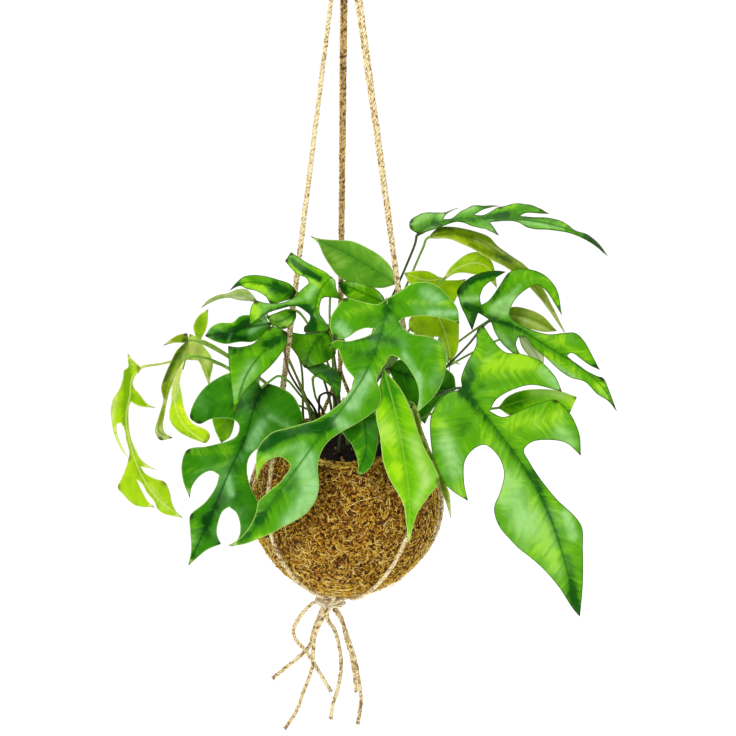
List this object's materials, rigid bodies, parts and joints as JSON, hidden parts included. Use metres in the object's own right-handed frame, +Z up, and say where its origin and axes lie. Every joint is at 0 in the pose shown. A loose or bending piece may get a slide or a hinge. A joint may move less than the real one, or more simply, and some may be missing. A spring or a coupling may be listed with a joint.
{
  "type": "hanging coir ball planter with a split-leaf climbing plant",
  "caption": "Split-leaf climbing plant growing from the open top of a coir fibre ball, hung by doubled jute cords that part round the ball and are knotted under it",
  "frame": {"origin": "inside top of the hanging loop, where the object hangs", "axes": "+Z up, +X to the right and +Y away from the viewer of the front"},
  "size_m": [0.3631, 0.232, 0.6856],
  "materials": {
    "coir": "rough matted coconut fibre",
    "soil": "loose dark potting soil",
    "jute": "hairy twisted jute",
    "leaf": "smooth, slightly glossy green leaf",
    "young_leaf": "smooth yellow-green young leaf",
    "root": "dry dark root"
  },
  "bodies": {
    "root": {"coir_pot": "coir", "soil": "soil", "aerial_root": "root", "top_knot": "jute", "hanging_loop": "jute", "bottom_knot": "jute", "cord_left_a": "jute", "cord_left_b": "jute", "cord_right_a": "jute", "cord_right_b": "jute", "cord_back_a": "jute", "cord_back_b": "jute", "tail_1": "jute", "tail_2": "jute", "tail_3": "jute", "tail_4": "jute", "tail_5": "jute", "tail_6": "jute", "leaf_front_right": "leaf", "leaf_upper_right": "leaf", "leaf_top_right": "leaf", "leaf_below_top": "leaf", "leaf_back_top": "leaf", "leaf_star": "leaf", "leaf_arch": "leaf", "leaf_arch_under": "leaf", "leaf_left_dark": "leaf", "leaf_small_bright": "leaf", "leaf_left_pointed": "leaf", "leaf_left_large": "leaf", "leaf_centre_large": "leaf", "leaf_centre_bright": "young_leaf", "leaf_sliver": "leaf", "leaf_centre_dark": "leaf", "leaf_centre_curved": "leaf", "leaf_centre_olive": "leaf", "leaf_far_left": "young_leaf", "leaf_left_tendril": "leaf", "leaf_left_pale": "young_leaf", "leaf_left_yellow": "young_leaf", "leaf_right_yellow": "young_leaf", "leaf_right_behind": "young_leaf", "leaf_right_hanging": "young_leaf", "leaf_right_olive": "leaf", "leaf_right_small": "leaf", "leaf_right_low": "leaf", "leaf_right_dark": "leaf", "leaf_centre_small": "leaf", "leaf_left_olive": "leaf", "leaf_back_1": "leaf", "leaf_back_2": "leaf", "leaf_back_3": "leaf", "leaf_back_4": "leaf", "leaf_back_5": "leaf", "leaf_back_6": "leaf", "leaf_back_7": "leaf", "leaf_back_8": "leaf", "leaf_back_9": "leaf"}
  },
  "joints": []
}
